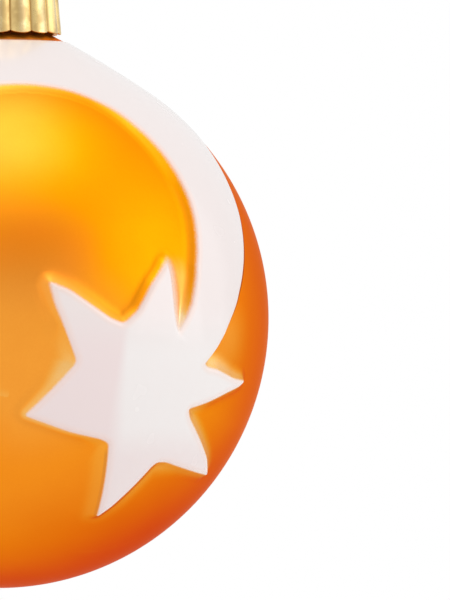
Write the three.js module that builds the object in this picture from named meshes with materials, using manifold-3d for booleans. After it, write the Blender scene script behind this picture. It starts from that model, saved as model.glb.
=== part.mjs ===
// A hanging glass ball ornament with a raised white comet star.
//
// The ball is a blown glass bubble with an open neck. White enamel is laid thickly on it as a star
// whose tail sweeps up the side and round the neck. A fluted metal cap covers the neck, and a spring
// wire hanger holds it there: its loop lies on the cap, and its two legs pass through slots in the
// cap and spread inside the ball.
//
// Millimetres, +Z up. The origin is where a hook bears, on the inside of the loop's top. The star
// side of the ball faces -Y, and +X is to the right of somebody who looks at the star.

import * as THREE from "three";
import { mergeVertices } from "three/addons/utils/BufferGeometryUtils.js";
import Module from "manifold-3d";

const wasm = await Module();
wasm.setup();

// The running gap between pieces that touch, and the thinner bed under the enamel.
const FIT_GAP = 0.3;
const ENAMEL_BED = 0.25;

// The glass ball. Its shoulder is drawn up from a true sphere towards the neck.
const BALL_RADIUS = 40;
const GLASS_WALL = 1.0;
const SHOULDER_START = 56; // degrees of latitude where the drawn shoulder begins
const SHOULDER_LIFT = 5.6; // how far it would stand off the sphere on the axis
const NECK_RADIUS = 7.25;
const NECK_WALL = 1.2;
const NECK_HEIGHT = 8;

// The cap: thin sheet, pressed into flutes that open a little towards the mouth.
const CAP_SHEET = 0.4;
const CAP_CORNER = 0.9;
const CAP_FLARE = 0.7;
const CAP_FLUTES = 16;
const CAP_FLUTE_DEPTH = 0.3;

// The hanger's spring wire, its loop above the cap and its two legs below.
const WIRE_RADIUS = 0.5;
const LOOP_HEIGHT = 11; // from the cap's top to the inside of the loop's top
const LOOP_HALF_WIDTH = 5.6; // to the middle of the wire
const LOOP_FOOT_BEND = 1.5;
const LEG_BEND = 0.8;
const LEG_SPACING = 3.0; // between the two legs where they enter the cap
const LEG_LENGTH = 28;
const LEG_END_SPLAY = 1; // degrees from upright once the hanger is drawn right out
const DRAW_LENGTH = 30; // how far the cap and ball slide down off the hanger

// The star: where its middle is, and its outline as [bearing in degrees, reach in mm] from there.
// Longitude runs to the right from the middle of the front, latitude up from the widest circle.
// Each arm's sides bow a little, so points on them lie between its tip and the notches.
const STAR_MIDDLE = { longitude: 34.6, latitude: -15.3 };
const STAR_OUTLINE = [
  [0.7, 19.5],
  [15.5, 11.0],
  [20.7, 10.2],
  [70.9, 11.0],
  [77.5, 14.3],
  [84.5, 18.3],
  [94.6, 15.6],
  [108.5, 12.3],
  [121.4, 11.6],
  [127.6, 13.3],
  [135.1, 20.4],
  [138.4, 23.1],
  [143.5, 20.6],
  [162.5, 13.4],
  [194.0, 19.6],
  [224.8, 9.9],
  [233.3, 9.6],
  [262.6, 20.8],
  [266.4, 18.7],
  [284.7, 11.9],
  [296.5, 12.2],
  [319.6, 23.1],
  [322.4, 19.1],
  [331.7, 8.8],
  [339.5, 7.4],
  [356.3, 14.1],
];
const STAR_HEIGHT = 1.1; // above the glass
const ENAMEL_EDGE = 0.5; // height of the enamel's rounded edge above the glass
const ENAMEL_BEVEL = 0.8; // how far in from the edge it reaches its full height

// The tail: a band round a circle on the ball. Its width is given every 30 degrees of bearing
// round that circle, first from inside the star up to the neck, then down to its point on the far
// side. Between the two it passes the neck and leaves a strip of enamel behind it.
const TAIL_CIRCLE = { longitude: 8.12, latitude: 19.38, reach: 25.8 };
const TAIL_START = -60;
const TAIL_STEP = 30;
const TAIL_RISING = [5.7, 8.2, 12.4, 17.5, 25.5];
const TAIL_BEHIND_NECK = 2.0;
const TAIL_FALLING = [33, 23, 11, 1.0];
const TAIL_RIDGE = 1.0; // height of the tail along its inner edge
const TAIL_FLUSH = 0.4; // height where it runs out at its outer edge

// How finely the round shapes are cut.
const BALL_SIDES = 56;
const BALL_RING_STEP = 8; // degrees of latitude
const SEGMENTS_PER_FLUTE = 4;
const WIRE_SIDES = 10;
const STAR_SIDE_STEPS = 2;
const TAIL_STEPS = 54;
const TAIL_SPANS = 8;

const AMBER = { color: 0xe8862a, roughness: 0.38, metalness: 0.75 };
const WHITE = { color: 0xf1e6e3, roughness: 0.25, metalness: 0.0 };
const GOLD = { color: 0xc9a45a, roughness: 0.3, metalness: 1.0 };
const STEEL = { color: 0xb9b6ae, roughness: 0.28, metalness: 1.0 };

const rad = THREE.MathUtils.degToRad;
const deg = THREE.MathUtils.radToDeg;
const UP = new THREE.Vector3(0, 0, 1);

// Finds where a steadily changing function passes zero between two values.
function solve(f, low, high) {
  const rising = f(high) > f(low);
  for (let i = 0; i < 50; i++) {
    const middle = (low + high) / 2;
    if (f(middle) > 0 === rising) high = middle;
    else low = middle;
  }
  return (low + high) / 2;
}

// The ball's form, measured from its own centre.

// Distance of the glass surface from the ball's centre at a latitude.
function glassRadius(latitude) {
  const up = Math.max(0, latitude - SHOULDER_START) / (90 - SHOULDER_START);
  return BALL_RADIUS + SHOULDER_LIFT * up * up;
}

// Latitude where the glass, set in by a depth, is a given distance from the upright axis.
function shoulderLatitude(fromAxis, depth) {
  const miss = (lat) => (glassRadius(lat) - depth) * Math.cos(rad(lat)) - fromAxis;
  return solve(miss, SHOULDER_START, 89);
}

// Height of the shoulder's outer surface at a distance from the upright axis.
function shoulderHeight(fromAxis) {
  const latitude = shoulderLatitude(fromAxis, 0);
  return glassRadius(latitude) * Math.sin(rad(latitude));
}

const boreRadius = NECK_RADIUS - NECK_WALL;
const neckFoot = shoulderHeight(NECK_RADIUS);
const neckRim = neckFoot + NECK_HEIGHT;

// The cap's widths, and the opening in the enamel that its mouth turns in.

const capRadius = NECK_RADIUS + FIT_GAP + CAP_FLUTE_DEPTH + CAP_SHEET;
const capMouth = capRadius + CAP_FLARE;
const capBottom = shoulderHeight(capMouth - CAP_SHEET - CAP_FLUTE_DEPTH) + FIT_GAP;
const enamelOpening = capMouth + CAP_FLUTE_DEPTH + 2 * FIT_GAP;

// Heights of the stack, from the origin down.

const capTop = -LOOP_HEIGHT;
const capUnderside = capTop - CAP_SHEET;
const rimHeight = capUnderside - FIT_GAP;
const ballCentre = rimHeight - neckRim;

// Shared geometry helpers.

// Turns a profile of [distance from the axis, height] points about the upright axis.
function turned(profile, sides) {
  const points = profile.map(([x, y]) => new THREE.Vector2(x, y));
  return new THREE.LatheGeometry(points, sides).rotateX(Math.PI / 2);
}

function toSolid(geometry) {
  const bare = geometry.index ? geometry.toNonIndexed() : geometry.clone();
  bare.deleteAttribute("normal");
  bare.deleteAttribute("uv");
  const merged = mergeVertices(bare, 1e-4);
  const { array } = merged.index;
  const triVerts = [];
  for (let i = 0; i < array.length; i += 3) {
    const [a, b, c] = [array[i], array[i + 1], array[i + 2]];
    if (a !== b && b !== c && c !== a) triVerts.push(a, b, c);
  }
  return new wasm.Manifold(
    new wasm.Mesh({
      numProp: 3,
      vertProperties: merged.attributes.position.array,
      triVerts: new Uint32Array(triVerts),
    }),
  );
}

function toGeometry(solid) {
  const { vertProperties, triVerts } = solid.getMesh();
  const geometry = new THREE.BufferGeometry();
  geometry.setAttribute("position", new THREE.BufferAttribute(vertProperties, 3));
  geometry.setIndex(new THREE.BufferAttribute(triVerts, 1));
  const flat = geometry.toNonIndexed();
  flat.computeVertexNormals();
  return flat;
}

// A round wire bent along a curve.
function wireAlong(curve, steps) {
  const section = new THREE.Shape().absarc(0, 0, WIRE_RADIUS, 0, 2 * Math.PI);
  const curveSegments = WIRE_SIDES / 2;
  return new THREE.ExtrudeGeometry(section, { extrudePath: curve, steps, curveSegments });
}

function named(name, geometry, finish) {
  const mesh = new THREE.Mesh(geometry, new THREE.MeshStandardMaterial(finish));
  mesh.name = name;
  return mesh;
}

// Places on the ball.

function direction(longitude, latitude) {
  const [lon, lat] = [rad(longitude), rad(latitude)];
  return new THREE.Vector3(
    Math.sin(lon) * Math.cos(lat),
    -Math.cos(lon) * Math.cos(lat),
    Math.sin(lat),
  );
}

// The direction that lies a reach in mm from a middle, along a bearing counter-clockwise from right.
function awayFrom(middle, reach, bearing) {
  const centre = direction(middle.longitude, middle.latitude);
  const right = new THREE.Vector3().crossVectors(UP, centre).normalize();
  const above = new THREE.Vector3().crossVectors(centre, right);
  const angle = reach / BALL_RADIUS;
  return centre
    .multiplyScalar(Math.cos(angle))
    .addScaledVector(right, Math.sin(angle) * Math.cos(rad(bearing)))
    .addScaledVector(above, Math.sin(angle) * Math.sin(rad(bearing)));
}

// A layer of enamel that follows the glass. Each row is a line of { towards, height } across it.
// Where the rows close into rings, the first row is the single point in the middle.
function enamelLayer(rows, rings) {
  const count = rows[0].length;
  const positions = [];
  const put = ({ towards, height }) => {
    const glass = glassRadius(deg(Math.asin(THREE.MathUtils.clamp(towards.z, -1, 1))));
    positions.push(...towards.clone().multiplyScalar(glass + height).toArray());
  };
  rows.forEach((row) => row.forEach((place) => put(place)));
  rows.forEach((row) => row.forEach(({ towards }) => put({ towards, height: ENAMEL_BED })));

  const under = rows.length * count;
  const at = (i, j) => i * count + (rings ? j % count : j);
  const index = [];
  const quad = (a, b, c, d) => index.push(a, b, c, a, c, d);
  const across = rings ? count : count - 1;
  for (let i = 0; i + 1 < rows.length; i++) {
    for (let j = 0; j < across; j++) {
      const [a, b, c, d] = [at(i, j), at(i + 1, j), at(i + 1, j + 1), at(i, j + 1)];
      quad(a, b, c, d);
      quad(d + under, c + under, b + under, a + under);
    }
  }
  const wall = (a, b) => quad(a, a + under, b + under, b);
  const last = rows.length - 1;
  for (let j = 0; j < across; j++) {
    wall(at(last, j), at(last, j + 1));
    if (!rings) wall(at(0, j + 1), at(0, j));
  }
  if (!rings) {
    for (let i = 0; i < last; i++) {
      wall(at(i, 0), at(i + 1, 0));
      wall(at(i + 1, count - 1), at(i, count - 1));
    }
  }
  const geometry = new THREE.BufferGeometry();
  geometry.setAttribute("position", new THREE.Float32BufferAttribute(positions, 3));
  geometry.setIndex(index);
  return geometry;
}

// The pieces.

function glassBall() {
  const shell = (depth, fromAxis) => {
    const top = shoulderLatitude(fromAxis, depth);
    const rings = Math.ceil((top + 90) / BALL_RING_STEP);
    return Array.from({ length: rings + 1 }, (_, i) => {
      const latitude = -90 + ((top + 90) * i) / rings;
      const radius = glassRadius(latitude) - depth;
      const onAxis = i === 0;
      return [onAxis ? 0 : radius * Math.cos(rad(latitude)), radius * Math.sin(rad(latitude))];
    });
  };
  const outside = shell(0, NECK_RADIUS);
  const inside = shell(GLASS_WALL, boreRadius);
  const rim = [
    [NECK_RADIUS, neckRim],
    [boreRadius, neckRim],
  ];
  return turned([...outside, ...rim, ...inside.reverse()], BALL_SIDES);
}

// The star as rings about its middle, each the outline drawn in by a share.
function starLayer() {
  const flat = STAR_OUTLINE.map(([bearing, reach]) =>
    new THREE.Vector2(reach * Math.cos(rad(bearing)), reach * Math.sin(rad(bearing))),
  );
  const outline = flat.flatMap((point, i) => {
    const next = flat[(i + 1) % flat.length];
    return Array.from({ length: STAR_SIDE_STEPS }, (_, k) =>
      point.clone().lerp(next, k / STAR_SIDE_STEPS),
    );
  });
  const ring = (share, inset, height) =>
    outline.map((p) => {
      const reach = (p.length() - inset) * share;
      return { towards: awayFrom(STAR_MIDDLE, reach, deg(p.angle())), height };
    });
  return enamelLayer(
    [
      ring(0, 0, STAR_HEIGHT),
      ring(0.25, ENAMEL_BEVEL, STAR_HEIGHT),
      ring(0.5, ENAMEL_BEVEL, STAR_HEIGHT),
      ring(0.75, ENAMEL_BEVEL, STAR_HEIGHT),
      ring(1, ENAMEL_BEVEL, STAR_HEIGHT),
      ring(1, 0, ENAMEL_EDGE),
    ],
    true,
  );
}

// The tail as lines across the band, from its outer edge to its inner one.
function tailLayer() {
  const toNeck = rad(90 - TAIL_CIRCLE.latitude) * BALL_RADIUS - TAIL_CIRCLE.reach;
  const pastNeck = toNeck + enamelOpening + TAIL_BEHIND_NECK;
  const all = [...TAIL_RISING, pastNeck, ...TAIL_FALLING];
  const stations = all.map((w, i) => new THREE.Vector2(TAIL_START + i * TAIL_STEP, w));
  const widths = new THREE.SplineCurve(stations);
  const rows = Array.from({ length: TAIL_STEPS + 1 }, (_, i) => {
    const { x: bearing, y: width } = widths.getPoint(i / TAIL_STEPS);
    const bevel = Math.min(ENAMEL_BEVEL, width / 4) / width;
    const ridge = TAIL_FLUSH + (TAIL_RIDGE - TAIL_FLUSH) * Math.min(1, width / TAIL_RISING[0]);
    const place = (share, height) => ({
      towards: awayFrom(TAIL_CIRCLE, TAIL_CIRCLE.reach + width * share, bearing),
      height,
    });
    const ramp = Array.from({ length: TAIL_SPANS + 1 }, (_, k) => {
      const share = 1 - (1 - bevel) * (k / TAIL_SPANS);
      return place(share, ridge + (TAIL_FLUSH - ridge) * share);
    });
    return [...ramp, place(0, ENAMEL_EDGE)];
  });
  return enamelLayer(rows, false);
}

// The star and its tail are one layer of enamel, open round the neck.
function starAndTail() {
  const [wide, tall] = [enamelOpening, 2 * BALL_RADIUS];
  const clear = new THREE.CylinderGeometry(wide, wide, tall, BALL_SIDES).rotateX(Math.PI / 2);
  clear.translate(0, 0, tall / 2);
  const layer = toSolid(starLayer()).add(toSolid(tailLayer()));
  return toGeometry(layer.subtract(toSolid(clear)));
}

// How far from upright the legs stand at rest: as wide as the neck's bore lets them while the
// hanger is drawn out and they close at a steady rate.
const stubEnd = capUnderside - FIT_GAP;
const pivotHeight = stubEnd - FIT_GAP;
const boreDepth = pivotHeight - (ballCentre + neckFoot) + GLASS_WALL;
const legRoom = boreRadius - WIRE_RADIUS - FIT_GAP - LEG_SPACING / 2;

const DRAW_STEP = 1 / 64;

function legSplay(atRest, drawn) {
  return atRest + (LEG_END_SPLAY - atRest) * (drawn / DRAW_LENGTH);
}

function tightestRoom(atRest) {
  let room = Infinity;
  for (let share = 0; share <= 1; share += DRAW_STEP) {
    const drawn = share * DRAW_LENGTH;
    const depth = Math.min(boreDepth + drawn, LEG_LENGTH);
    room = Math.min(room, legRoom - depth * Math.tan(rad(legSplay(atRest, drawn))));
  }
  return room;
}

const LEG_SPLAY = solve(tightestRoom, LEG_END_SPLAY, 60);

// The furthest out that a leg passes the cap's top while the hanger is drawn out.
function slotReach() {
  let reach = 0;
  for (let share = 0; share <= 1; share += DRAW_STEP) {
    const drawn = share * DRAW_LENGTH;
    const below = Math.max(0, drawn - (capTop - pivotHeight));
    reach = Math.max(reach, below * Math.tan(rad(legSplay(LEG_SPLAY, drawn))));
  }
  return LEG_SPACING / 2 + reach + WIRE_RADIUS + FIT_GAP;
}

function cap() {
  const [top, under, mouth] = [neckRim + FIT_GAP + CAP_SHEET, neckRim + FIT_GAP, capBottom];
  const inner = capRadius - CAP_SHEET;
  const shoulder = top - CAP_CORNER;
  const skirt = (radius, rows) =>
    rows.map((down) => [radius + CAP_FLARE * down, shoulder + (mouth - shoulder) * down]);
  const profile = [
    [0, under],
    [inner - CAP_CORNER, under],
    ...skirt(inner, [0, 0.3, 0.65, 1]),
    ...skirt(capRadius, [1, 0.65, 0.3, 0]),
    [capRadius - CAP_CORNER * 0.3, top - CAP_CORNER * 0.3],
    [capRadius - CAP_CORNER, top],
    [0, top],
  ];
  const geometry = turned(profile, CAP_FLUTES * SEGMENTS_PER_FLUTE);

  // The flutes deepen from nothing at the cap's shoulder.
  const place = geometry.attributes.position;
  for (let i = 0; i < place.count; i++) {
    const [x, y, z] = [place.getX(i), place.getY(i), place.getZ(i)];
    const down = THREE.MathUtils.clamp((shoulder - z) / (0.3 * (shoulder - mouth)), 0, 1);
    const flute = CAP_FLUTE_DEPTH * down * Math.cos(CAP_FLUTES * Math.atan2(y, x));
    const radius = Math.hypot(x, y);
    if (radius > 0) place.setXY(i, x * (1 + flute / radius), y * (1 + flute / radius));
  }

  // Two slots let the hanger's legs through.
  const half = WIRE_RADIUS + FIT_GAP;
  const [near, far] = [LEG_SPACING / 2, slotReach() - half];
  const slot = new THREE.Shape();
  slot.absarc(far, 0, half, -Math.PI / 2, Math.PI / 2);
  slot.absarc(near, 0, half, Math.PI / 2, (3 * Math.PI) / 2);
  const cutter = new THREE.ExtrudeGeometry(slot, {
    depth: 3 * CAP_SHEET,
    bevelEnabled: false,
    curveSegments: 5,
  }).translate(0, 0, under - CAP_SHEET);
  const right = toSolid(cutter);
  const left = toSolid(cutter.clone().rotateZ(Math.PI));
  return toGeometry(toSolid(geometry).subtract(right).subtract(left));
}

// The loop: up through one slot, out along the cap, over the arch and back the same way.
function wireLoop() {
  const foot = capTop + FIT_GAP + WIRE_RADIUS;
  const arch = WIRE_RADIUS - LOOP_HALF_WIDTH;
  const leg = LEG_SPACING / 2;
  const side = LOOP_HALF_WIDTH;
  const [half, right] = [Math.PI, Math.PI / 2];
  const bend = new THREE.Path();
  bend.moveTo(-leg, stubEnd);
  bend.lineTo(-leg, foot - LEG_BEND);
  bend.absarc(-leg - LEG_BEND, foot - LEG_BEND, LEG_BEND, 0, right, false);
  bend.absarc(-side + LOOP_FOOT_BEND, foot + LOOP_FOOT_BEND, LOOP_FOOT_BEND, -right, -half, true);
  bend.absarc(0, arch, side, half, 0, true);
  bend.absarc(side - LOOP_FOOT_BEND, foot + LOOP_FOOT_BEND, LOOP_FOOT_BEND, 0, -right, true);
  bend.absarc(leg + LEG_BEND, foot - LEG_BEND, LEG_BEND, right, half, false);
  bend.lineTo(leg, stubEnd);
  const line = bend.getSpacedPoints(90).map((p) => new THREE.Vector3(p.x, 0, p.y));
  return wireAlong(new THREE.CatmullRomCurve3(line), 52);
}

// A straight leg that hangs from its pivot, before it is splayed.
function leg() {
  const wire = new THREE.CylinderGeometry(WIRE_RADIUS, WIRE_RADIUS, LEG_LENGTH, WIRE_SIDES);
  return wire.rotateX(Math.PI / 2).translate(0, 0, -LEG_LENGTH / 2);
}

// The assembly.

const ball = new THREE.Group();
ball.position.z = ballCentre;
ball.add(named("glass_ball", glassBall(), AMBER));
ball.add(named("star_and_tail", starAndTail(), WHITE));
ball.add(named("cap", cap(), GOLD));

const legLeft = named("leg_left", leg(), STEEL);
legLeft.position.set(-LEG_SPACING / 2, 0, pivotHeight);
legLeft.rotation.y = rad(LEG_SPLAY);

const legRight = named("leg_right", leg(), STEEL);
legRight.position.set(LEG_SPACING / 2, 0, pivotHeight);
legRight.rotation.y = -rad(LEG_SPLAY);

const ornament = new THREE.Group();
ornament.add(ball, named("wire_loop", wireLoop(), STEEL), legLeft, legRight);

console.log("legs at rest, degrees from upright", LEG_SPLAY.toFixed(3));
console.log("heights: cap top", capTop, "pivot", pivotHeight.toFixed(3), "ball", ballCentre.toFixed(3));
console.log("neck rim above the ball's centre", neckRim.toFixed(3));

export default ornament;
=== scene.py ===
# %% [markdown]
# # A glass ball ornament with a raised white star
#
# The ornament is a blown glass ball, sprayed with a satin amber lacquer. A comet star is laid on
# it in thick white enamel, and its tail sweeps up the side and round the neck. A fluted brass cap
# covers the neck, and a spring wire hanger holds the cap on.
#
# The engineering model gives every piece its place. This first step loads it.

import math

import bmesh
import bpy
import numpy as np
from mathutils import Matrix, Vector


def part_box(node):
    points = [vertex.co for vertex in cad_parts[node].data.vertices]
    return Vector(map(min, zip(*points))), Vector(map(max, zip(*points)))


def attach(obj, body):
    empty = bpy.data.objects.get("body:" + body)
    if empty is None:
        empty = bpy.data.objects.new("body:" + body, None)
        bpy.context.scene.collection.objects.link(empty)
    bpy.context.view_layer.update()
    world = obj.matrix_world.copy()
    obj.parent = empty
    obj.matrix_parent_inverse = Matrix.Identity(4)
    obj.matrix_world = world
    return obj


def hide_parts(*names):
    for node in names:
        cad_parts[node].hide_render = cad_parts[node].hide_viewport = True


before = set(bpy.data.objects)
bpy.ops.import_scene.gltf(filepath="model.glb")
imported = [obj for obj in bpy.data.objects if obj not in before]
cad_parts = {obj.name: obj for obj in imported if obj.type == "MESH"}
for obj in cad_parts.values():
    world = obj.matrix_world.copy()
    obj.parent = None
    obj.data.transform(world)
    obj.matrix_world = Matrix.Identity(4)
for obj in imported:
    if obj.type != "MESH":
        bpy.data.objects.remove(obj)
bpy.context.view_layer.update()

# %% [markdown]
# ## Units and the middle of the ball
#
# Blender works in metres, and a craftsman thinks of a ball of this size in millimetres. All the
# shaping below is done in millimetres from the middle of the ball, and a mesh is scaled when it
# is made.

# %% Units
MM = 0.001
BALL_RADIUS = 40.0
ball_low, ball_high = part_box("glass_ball")
BALL_MIDDLE = np.array((0.0, 0.0, ball_low.z / MM + BALL_RADIUS))
NECK_RIM = ball_high.z / MM - BALL_MIDDLE[2]
print("middle of the ball at height", round(BALL_MIDDLE[2], 3), "mm")
print("neck rim above it", round(NECK_RIM, 3), "mm")

# %% [markdown]
# ## The camera
#
# The ball stands straight in front of a long lens, at the lens's own height, and so large that
# only its right half is in the picture. A long lens draws the ball as a true circle. Its middle
# falls just outside the left edge, so the camera turns a little to the right of the ball, and up,
# instead of moving sideways: that keeps the star at the angle it is seen from.

# %% Camera
PICTURE_WIDTH, PICTURE_HEIGHT = 450, 600
CIRCLE_X, CIRCLE_Y, CIRCLE_RADIUS = -1.0, 318.2, 269.7  # the ball's outline in the picture
CAMERA_DISTANCE = 1000.0

to_outline = math.sqrt(CAMERA_DISTANCE**2 - BALL_RADIUS**2)
focal_pixels = CIRCLE_RADIUS * to_outline / BALL_RADIUS
turn_right = math.atan((PICTURE_WIDTH / 2 - CIRCLE_X) / focal_pixels)
turn_up = math.atan((CIRCLE_Y - PICTURE_HEIGHT / 2) / focal_pixels)

camera_data = bpy.data.cameras.new("camera")
camera_data.sensor_width = 36
camera_data.lens = focal_pixels * camera_data.sensor_width / PICTURE_HEIGHT
camera_data.clip_start, camera_data.clip_end = 0.05, 40
camera = bpy.data.objects.new("camera", camera_data)
camera.location = Vector((0, -CAMERA_DISTANCE, BALL_MIDDLE[2])) * MM
camera.rotation_euler = (math.pi / 2 + turn_up, 0, -turn_right)
bpy.context.scene.collection.objects.link(camera)
bpy.context.scene.camera = camera
bpy.context.scene.view_settings.view_transform = "Standard"
print("lens", round(camera_data.lens, 1), "mm")
print("turned", round(math.degrees(turn_right), 2), "degrees right")

# %% [markdown]
# ## A short way to write nodes
#
# Every finish below is a small network of nodes. What comes out of a node is held as a wire. A
# wire can be added to, taken away from and multiplied like a plain number, and each of those
# makes one node. A wire given to a node is linked, and a plain number is written on the node.

# %% Wires
class Wire:
    """What comes out of a node. A name in square brackets picks another output of that node."""

    def __init__(self, socket):
        self.socket, self.tree = socket, socket.id_data

    def __getitem__(self, name):
        return Wire(self.socket.node.outputs[name])

    def __add__(self, other):
        return maths("ADD", self, other)

    def __sub__(self, other):
        return maths("SUBTRACT", self, other)

    def __rsub__(self, other):
        return maths("SUBTRACT", other, self)

    def __mul__(self, other):
        return maths("MULTIPLY", self, other)


def feed(node, values):
    """Links or writes values on a node's inputs, given by name or by number."""
    for name, value in values.items():
        socket = node.inputs[name.replace("_", " ") if isinstance(name, str) else name]
        if isinstance(value, Wire):
            value.tree.links.new(value.socket, socket)
        else:
            socket.default_value = value


def put(tree, kind, settings=None, **values):
    """A new node, as the wire that comes out of it first."""
    made = tree.nodes.new(kind)
    for name, value in (settings or {}).items():
        setattr(made, name, value)
    feed(made, values)
    return Wire(made.outputs[0])


# %% Sums and colours
def tree_of(values):
    """The tree of nodes that the wires among some values belong to."""
    return next(value.tree for value in values if isinstance(value, Wire))


def maths(operation, *values):
    """One sum of wires and plain numbers."""
    made = put(tree_of(values), "ShaderNodeMath", {"operation": operation})
    feed(made.socket.node, dict(enumerate(values)))
    return made


def larger(first, second):
    return maths("MAXIMUM", first, second)


def smaller(first, second):
    return maths("MINIMUM", first, second)


def of_places(operation, *places):
    """One number worked out from one or two places."""
    made = put(tree_of(places), "ShaderNodeVectorMath", {"operation": operation})
    feed(made.socket.node, dict(enumerate(places)))
    return made["Value"]


def between(value, low, high):
    """Takes a value smoothly from 0 to 1 as it passes from low to high."""
    smooth = {"interpolation_type": "SMOOTHSTEP"}
    return put(value.tree, "ShaderNodeMapRange", smooth, Value=value, From_Min=low, From_Max=high)


def tint(share, first, second, way="MIX"):
    """Mixes two colours by a share."""
    mix = {"data_type": "RGBA", "blend_type": way}
    made = put(tree_of((share, first, second)), "ShaderNodeMix", mix).socket.node
    feed(made, {0: share, 6: first, 7: second})
    return Wire(made.outputs[2])


# %% Groups and materials
def new_group(name, inputs, outputs):
    """A node group with named numbers going in and coming out."""
    group = bpy.data.node_groups.new(name, "ShaderNodeTree")
    for title, level in inputs.items():
        socket = group.interface.new_socket(title, in_out="INPUT", socket_type="NodeSocketFloat")
        socket.default_value = level
    for title in outputs:
        group.interface.new_socket(title, in_out="OUTPUT", socket_type="NodeSocketFloat")
    print("group:", name)
    return group, put(group, "NodeGroupInput"), group.nodes.new("NodeGroupOutput")


def use(tree, group, **values):
    """A group placed in a material, with values of its own."""
    return put(tree, "ShaderNodeGroup", {"node_tree": group}, **values)


def new_material(name):
    """A material, its tree of nodes, and the main shader in it."""
    material = bpy.data.materials.new(name)
    material.use_nodes = True
    tree = material.node_tree
    print("material:", name)
    return material, tree, tree.nodes["Principled BSDF"]


def here(tree):
    """The place of each point of a piece, in metres."""
    return put(tree, "ShaderNodeTexCoord")["Object"]


def noise(tree, scale, detail, place=None):
    """A cloudy pattern from 0 to 1. A larger scale is finer, and more detail is rougher."""
    place = place or here(tree)
    return put(tree, "ShaderNodeTexNoise", Vector=place, Scale=scale, Detail=detail)["Fac"]


def remembered(tree, name, kind="Fac"):
    """A value that the mesh keeps for each of its points."""
    return put(tree, "ShaderNodeAttribute", {"attribute_name": name})[kind]


def finish_surface(shader, colour, rough, metallic, height, strength, depth):
    """Feeds a shader its colour, roughness and metal, and fine bumps of a depth in mm."""
    bump = put(
        shader.id_data, "ShaderNodeBump", Strength=strength, Distance=depth * MM, Height=height
    )
    feed(shader, {"Base Color": colour, "Roughness": rough, "Metallic": metallic, "Normal": bump})


# %% [markdown]
# ## The room
#
# The photograph was made in a pale studio: a large soft light above, a tall soft panel on the
# right, and white all round. Satin lacquer mirrors the room as broad soft patches of light and
# dark, so the room matters as much as the lacquer. The world lights the scene a little from every
# side. What the camera and the shiny surfaces see of it is white, with a slightly dimmer patch
# where the photographer stands.

# %% World
WORLD_FILL = 0.92
ROOM_WHITE = 1.04

world = bpy.data.worlds.new("pale studio")
world.use_nodes = True
bpy.context.scene.world = world
room = world.node_tree
path = put(room, "ShaderNodeLightPath")
camera_ray = path["Is Camera Ray"]
shiny = larger(path["Is Glossy Ray"], path["Is Transmission Ray"])
facing = put(room, "ShaderNodeTexCoord")["Generated"]


def patch_of_room(where, narrow, wide):
    """How much a view into the room falls in a patch: 1 within an angle, 0 beyond a wider one."""
    near = of_places("DOT_PRODUCT", facing, Vector(where).normalized())
    return between(near, math.cos(math.radians(wide)), math.cos(math.radians(narrow)))


PATCHES = [  # where the patch lies, its narrow and wide angle in degrees, how much brighter it is
    ("the photographer", (0.2, -1, 0.55), 4, 34, -0.42),
    ("the light above", (0.05, -0.12, 1), 4, 36, 1.18),
    ("the panel on the right", (1, -0.1, 0.25), 30, 40, 0.30),
    ("the table in front", (0, -1, -0.45), 6, 42, 0.24),
    ("the far side of the room", (0, 1, 0), 30, 95, -0.15),
]
seen_shiny = ROOM_WHITE
for _, where, narrow, wide, brighter in PATCHES:
    seen_shiny = patch_of_room(where, narrow, wide) * brighter + seen_shiny
neither = 1.0 - larger(shiny, camera_ray)
strength = shiny * seen_shiny + camera_ray + neither * WORLD_FILL
feed(room.nodes["Background"], {"Strength": strength, "Color": (1, 1, 1, 1)})
print("world fill", WORLD_FILL, "and white to the camera and in reflections")

# %% [markdown]
# ## The lamps
#
# Two area lamps stand for the two soft lights. Both are much larger than the ball, so their
# reflections have no hard edge. They aren't seen by the camera itself.

# %% Lamps
def soft_lamp(name, place, size, watts):
    """A wide soft light, aimed at the middle of the ball."""
    lamp = bpy.data.lights.new(name, "AREA")
    lamp.shape, lamp.size, lamp.size_y = "RECTANGLE", size[0], size[1]
    lamp.energy = watts
    lamp_object = bpy.data.objects.new(name, lamp)
    lamp_object.location = place
    aim = Vector((0, 0, BALL_MIDDLE[2] * MM)) - Vector(place)
    lamp_object.rotation_euler = aim.to_track_quat("-Z", "Y").to_euler()
    lamp_object.visible_camera = False
    bpy.context.scene.collection.objects.link(lamp_object)
    print(name, watts, "W over", size, "m")


soft_lamp("light above", place=(-0.10, -0.25, 1.15), size=(1.1, 1.1), watts=1.6)
soft_lamp("panel on the right", place=(1.15, -0.30, 0.10), size=(0.9, 1.3), watts=2.0)

# %% [markdown]
# ## The floor
#
# A pale floor lies below the ornament and keeps its soft shadow. Away from the ornament it fades
# into the white of the room, for the camera and for reflections alike, so no horizon shows.

# %% Floor
FLOOR_HEIGHT = -0.175
FLOOR_COLOUR = (0.86, 0.86, 0.86, 1)
FADE_FROM, FADE_TO = 0.10, 0.42  # metres from the middle where the floor turns into pure white
MIRRORED_WHITE = 0.85  # how white the floor is at least, in reflections
MIRRORED_DIM = 0.05  # how much dimmer it is behind the ornament, in reflections
DIM_TO = 0.15  # metres behind the middle where it is dimmest

floor_mesh = bmesh.new()
bmesh.ops.create_grid(floor_mesh, x_segments=8, y_segments=8, size=6)
floor_data = bpy.data.meshes.new("floor")
floor_mesh.to_mesh(floor_data)
floor_mesh.free()
floor = bpy.data.objects.new("floor", floor_data)
floor.location.z = FLOOR_HEIGHT
bpy.context.scene.collection.objects.link(floor)

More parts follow.
